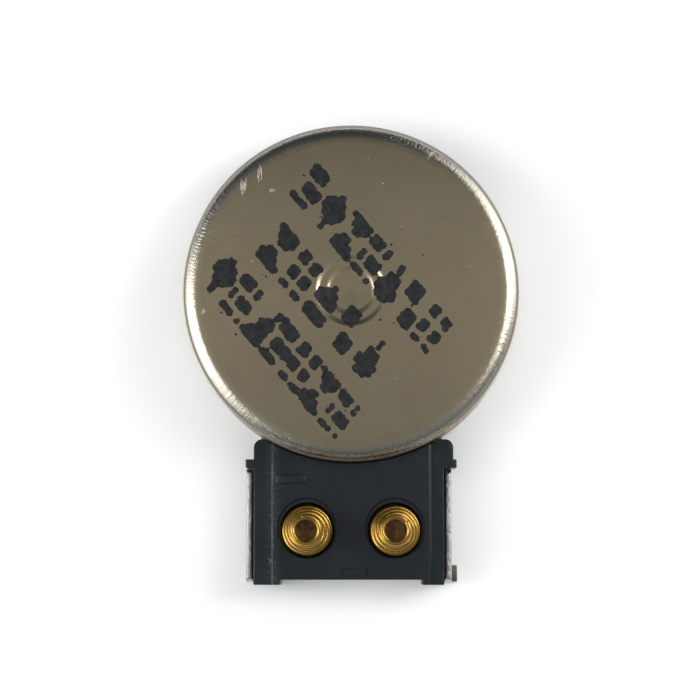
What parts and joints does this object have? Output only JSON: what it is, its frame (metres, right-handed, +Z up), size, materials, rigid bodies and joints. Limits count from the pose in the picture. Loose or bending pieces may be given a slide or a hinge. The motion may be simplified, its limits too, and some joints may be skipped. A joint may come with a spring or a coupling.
{
  "type": "vibration coin motor",
  "caption": "Flat round vibration motor: a steel can with an off-centre rotor, and a tail with a black block holding gold contact springs.",
  "frame": {"origin": "on the shaft's axis, at the underside of the base plate", "axes": "+Z up along the shaft, out of the cover; +Y away from the contact tail; +X to the right with the tail towards the viewer"},
  "size_m": [0.01, 0.0136, 0.0036],
  "materials": {
    "cover_steel": "nickel-plated drawn steel, satin, with fine wipe marks",
    "plate_steel": "nickel-plated stamped steel, satin",
    "shaft_steel": "ground hardened steel, bright",
    "magnet": "plated sintered magnet, dull grey",
    "washer_film": "thin polyester film, milky",
    "flex_film": "polyimide film, amber",
    "track_copper": "gold-flashed copper foil",
    "brush_gold": "precious-metal spring strip",
    "solder": "soft solder, bright",
    "block_plastic": "moulded slate-black plastic, matte",
    "spring_gold": "gold-plated spring wire, polished",
    "rotor_board": "green circuit board laminate",
    "segment_gold": "gold-plated copper segments",
    "rotor_resin": "moulded black resin",
    "coil_copper": "enamelled copper winding",
    "tungsten": "sintered tungsten alloy, dull grey",
    "bearing_bronze": "oil-filled sintered bronze"
  },
  "bodies": {
    "motor": {"cover_can": "cover_steel", "base_plate": "plate_steel", "shaft": "shaft_steel", "ring_magnet": "magnet", "lower_washer": "washer_film", "upper_washer": "washer_film", "base_flex": "flex_film", "left_flex_track": "track_copper", "right_flex_track": "track_copper", "right_brush": "brush_gold", "left_brush": "brush_gold", "brush_solder": "solder", "contact_block": "block_plastic"},
    "left_spring": {"left_contact_spring": "spring_gold"},
    "right_spring": {"right_contact_spring": "spring_gold"},
    "rotor": {"rotor_board": "rotor_board", "commutator_segments": "segment_gold", "rotor_frame": "rotor_resin", "left_coil": "coil_copper", "right_coil": "coil_copper", "eccentric_weight": "tungsten", "rotor_bearing": "bearing_bronze", "coil_solder": "solder"}
  },
  "joints": [
    {"name": "rotor_spin", "type": "hinge", "parent": "motor", "child": "rotor", "pos_m": [0, 0, 0], "axis": [0, 0, 1], "continuous": true},
    {"name": "left_spring_press", "type": "slide", "parent": "motor", "child": "left_spring", "axis": [0, 0, -1], "range_m": [0, 0.001], "stiffness_N_per_m": 500, "deforming": ["left_contact_spring"]},
    {"name": "right_spring_press", "type": "slide", "parent": "motor", "child": "right_spring", "axis": [0, 0, -1], "range_m": [0, 0.001], "stiffness_N_per_m": 500, "deforming": ["right_contact_spring"]}
  ]
}
